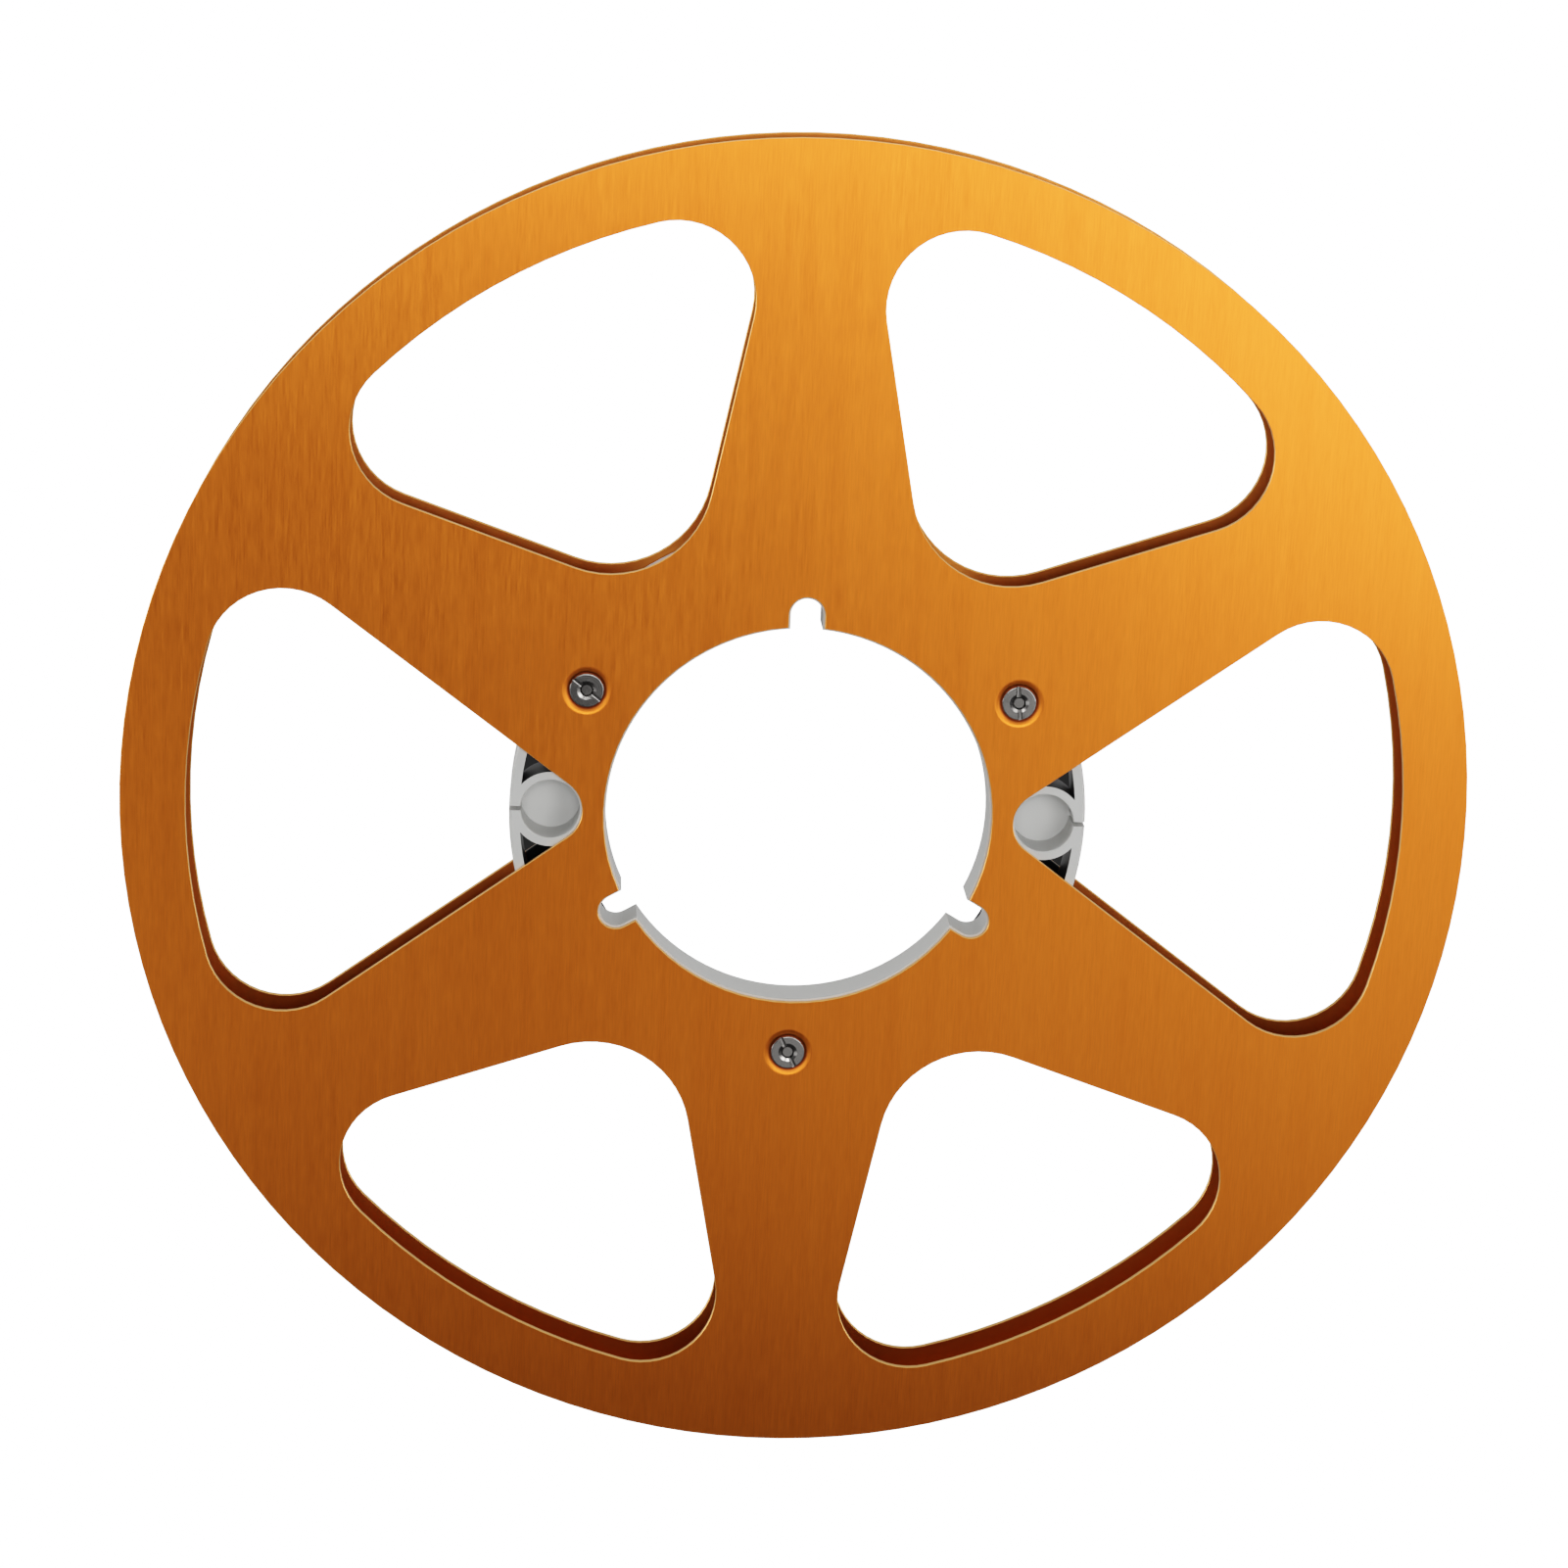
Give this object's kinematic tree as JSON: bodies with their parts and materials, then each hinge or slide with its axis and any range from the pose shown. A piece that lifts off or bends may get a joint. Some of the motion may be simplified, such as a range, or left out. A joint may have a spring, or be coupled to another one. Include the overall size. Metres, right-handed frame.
{
  "type": "open reel for magnetic tape",
  "caption": "Flat open reel: windowed metal flanges clamped to a moulded hub with a wide keyed bore, for winding and holding magnetic tape.",
  "frame": {"origin": "centre of the reel on the back flange's outer face, which is the lowest plane of the part", "axes": "+Z along the spindle axis from the back flange to the front flange; +Y from the axis through one keyway; +X from the axis through one tape anchor"},
  "size_m": [0.2666, 0.2666, 0.011],
  "materials": {
    "flange_metal": "brushed, orange-gold anodised",
    "hub_plastic": "moulded, fine matt",
    "fastener_metal": "turned, nickel plated"
  },
  "bodies": {
    "root": {"front_flange": "flange_metal", "back_flange": "flange_metal", "hub": "hub_plastic", "binding_barrel_1": "fastener_metal", "binding_barrel_2": "fastener_metal", "binding_barrel_3": "fastener_metal", "clamp_screw_1": "fastener_metal", "clamp_screw_2": "fastener_metal", "clamp_screw_3": "fastener_metal"}
  },
  "joints": []
}
